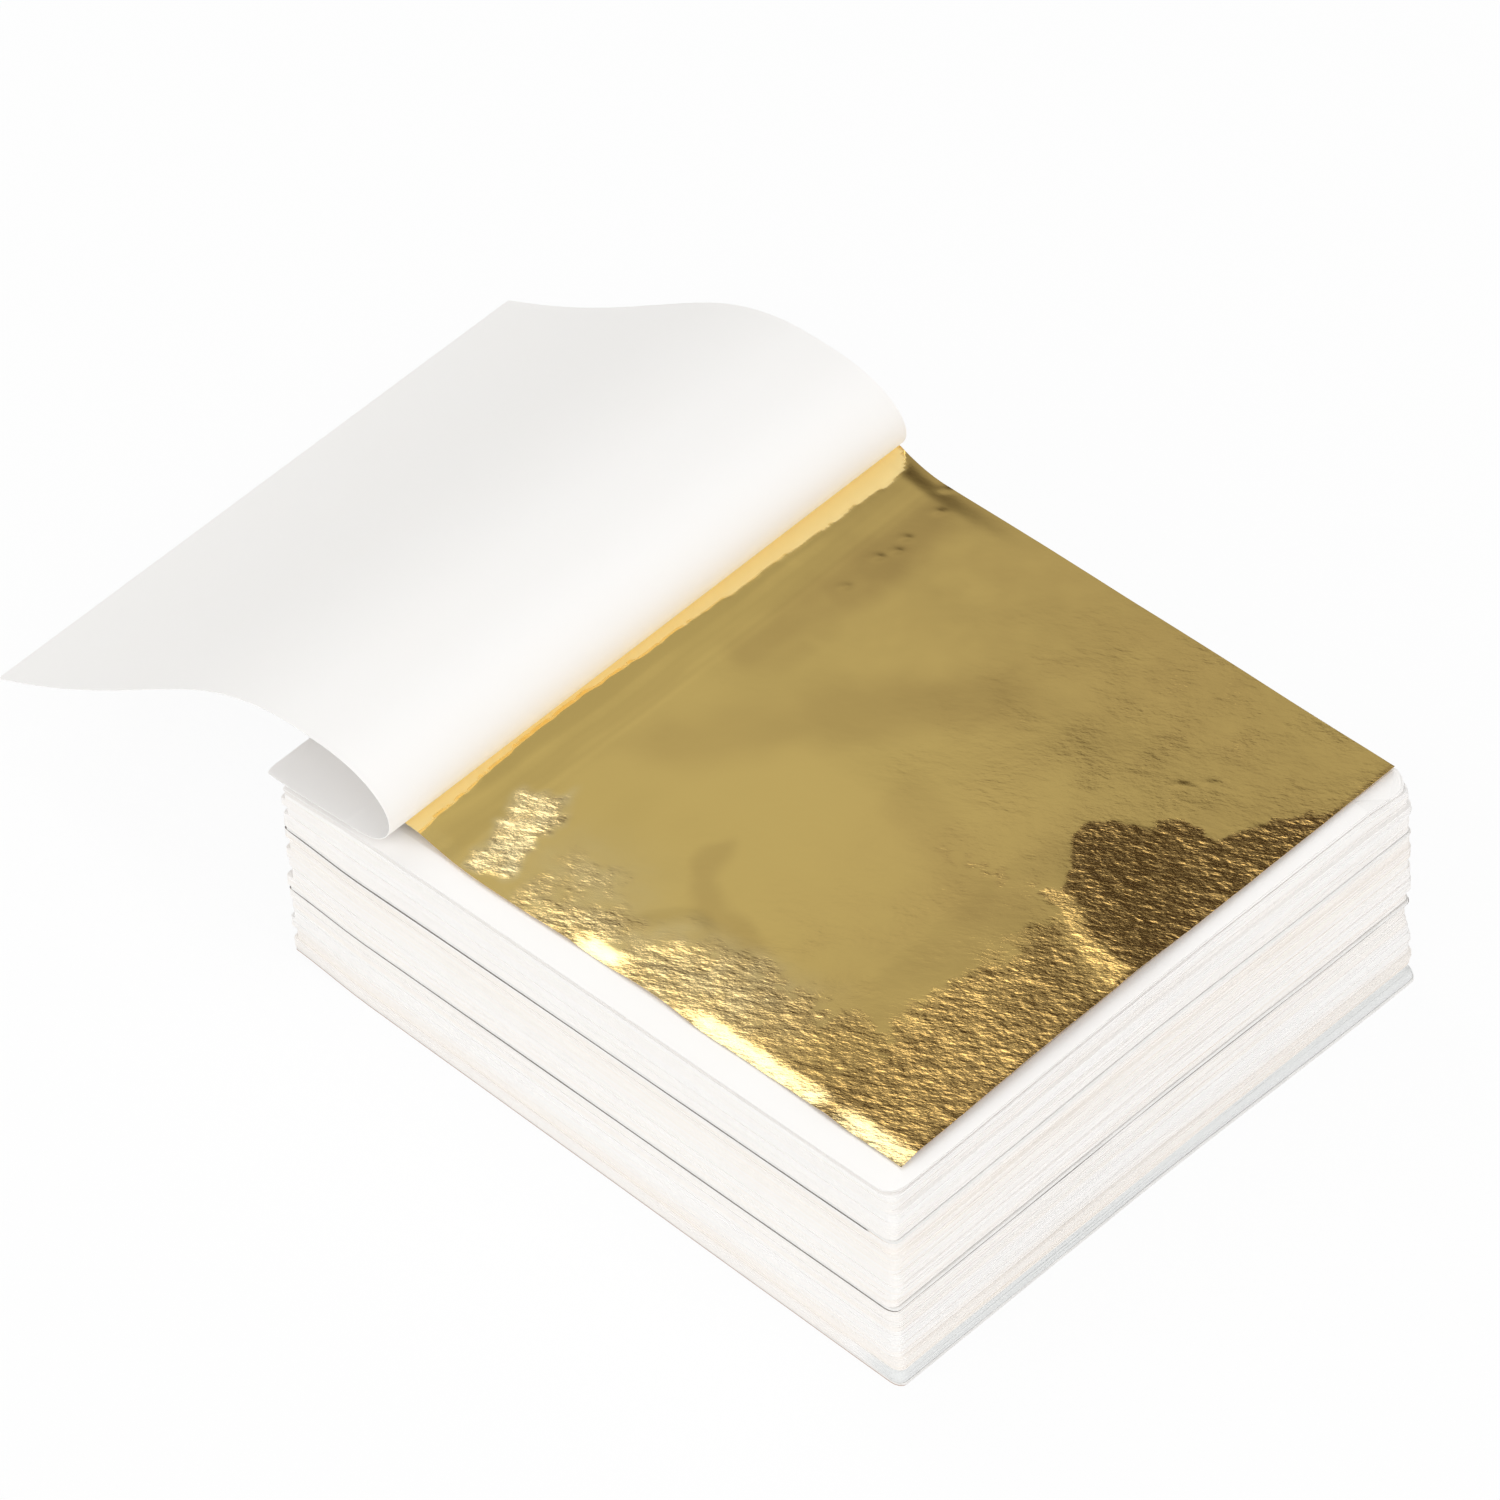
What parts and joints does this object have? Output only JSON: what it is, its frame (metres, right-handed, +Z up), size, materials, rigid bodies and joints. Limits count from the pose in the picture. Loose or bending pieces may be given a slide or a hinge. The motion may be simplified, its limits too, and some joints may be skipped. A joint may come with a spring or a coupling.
{
  "type": "gold leaf booklet",
  "caption": "Pile of stapled booklets of imitation gold leaf between tissue pages, the top one open with its first page rolled back over the spine.",
  "frame": {"origin": "on the table, under the middle of the pile's back sheet", "axes": "+X from the stapled spine to the fore edge, +Y along the spine, +Z up"},
  "size_m": [0.1427, 0.0848, 0.0408],
  "materials": {
    "tissue_paper": "thin uncoated white tissue, matt",
    "back_card": "thin white uncoated card, matt",
    "gold_leaf": "crinkled beaten brass leaf, bright",
    "staple_wire": "drawn steel wire"
  },
  "bodies": {
    "book_3": {"book_3_back_sheet": "back_card", "book_3_gathering_1": "tissue_paper", "book_3_gathering_2": "tissue_paper", "book_3_gathering_3": "tissue_paper", "book_3_gathering_4": "tissue_paper", "book_3_gathering_5": "tissue_paper", "book_3_gathering_6": "tissue_paper", "book_3_staples": "staple_wire"},
    "book_2": {"book_2_back_sheet": "back_card", "book_2_gathering_1": "tissue_paper", "book_2_gathering_2": "tissue_paper", "book_2_gathering_3": "tissue_paper", "book_2_gathering_4": "tissue_paper", "book_2_gathering_5": "tissue_paper", "book_2_gathering_6": "tissue_paper", "book_2_staples": "staple_wire"},
    "book_1": {"book_1_back_sheet": "back_card", "book_1_gathering_1": "tissue_paper", "book_1_gathering_2": "tissue_paper", "book_1_gathering_3": "tissue_paper", "book_1_gathering_4": "tissue_paper", "book_1_gathering_5": "tissue_paper", "book_1_staples": "staple_wire", "page_5": "tissue_paper", "page_4": "tissue_paper", "page_3": "tissue_paper", "page_2": "tissue_paper", "leaf_4": "gold_leaf", "leaf_3": "gold_leaf", "leaf_2": "gold_leaf", "page_1_bound": "tissue_paper"},
    "leaf_1": {"leaf_1": "gold_leaf"},
    "page_1_strip_1": {"page_1_strip_1": "tissue_paper"},
    "page_1_strip_2": {"page_1_strip_2": "tissue_paper"},
    "page_1_strip_3": {"page_1_strip_3": "tissue_paper"},
    "page_1_strip_4": {"page_1_strip_4": "tissue_paper"},
    "page_1_strip_5": {"page_1_strip_5": "tissue_paper"},
    "page_1_strip_6": {"page_1_strip_6": "tissue_paper"},
    "page_1_strip_7": {"page_1_strip_7": "tissue_paper"},
    "page_1_strip_8": {"page_1_strip_8": "tissue_paper"}
  },
  "joints": [
    {"name": "book_2_lift", "type": "slide", "parent": "book_3", "child": "book_2", "axis": [0, 0, 1], "range_m": [0, 0.04]},
    {"name": "book_1_lift", "type": "slide", "parent": "book_2", "child": "book_1", "axis": [0, 0, 1], "range_m": [0, 0.04]},
    {"name": "leaf_1_slide", "type": "slide", "parent": "book_1", "child": "leaf_1", "axis": [0.9989, 0, 0.0468], "range_m": [0, 0.085]},
    {"name": "page_1_fold_1", "type": "hinge", "parent": "book_1", "child": "page_1_strip_1", "pos_m": [-0.0348, 0, 0.03013], "axis": [0, 1, 0], "range_deg": [0, 22]},
    {"name": "page_1_fold_2", "type": "hinge", "parent": "page_1_strip_1", "child": "page_1_strip_2", "pos_m": [-0.03171, 0, 0.03155], "axis": [0, 1, 0], "range_deg": [0, 34]},
    {"name": "page_1_fold_3", "type": "hinge", "parent": "page_1_strip_2", "child": "page_1_strip_3", "pos_m": [-0.03005, 0, 0.03428], "axis": [0, 1, 0], "range_deg": [0, 46]},
    {"name": "page_1_fold_4", "type": "hinge", "parent": "page_1_strip_3", "child": "page_1_strip_4", "pos_m": [-0.03081, 0, 0.03718], "axis": [0, 1, 0], "range_deg": [0, 42]},
    {"name": "page_1_fold_5", "type": "hinge", "parent": "page_1_strip_4", "child": "page_1_strip_5", "pos_m": [-0.03415, 0, 0.03938], "axis": [0, 1, 0], "range_deg": [0, 20]},
    {"name": "page_1_fold_6", "type": "hinge", "parent": "page_1_strip_5", "child": "page_1_strip_6", "pos_m": [-0.03999, 0, 0.04076], "axis": [0, 1, 0], "range_deg": [0, 17]},
    {"name": "page_1_fold_7", "type": "hinge", "parent": "page_1_strip_6", "child": "page_1_strip_7", "pos_m": [-0.04797, 0, 0.04025], "axis": [0, 1, 0], "range_deg": [0, 14]},
    {"name": "page_1_fold_8", "type": "hinge", "parent": "page_1_strip_7", "child": "page_1_strip_8", "pos_m": [-0.0575, 0, 0.03721], "axis": [0, 1, 0], "range_deg": [0, 16.5]}
  ]
}
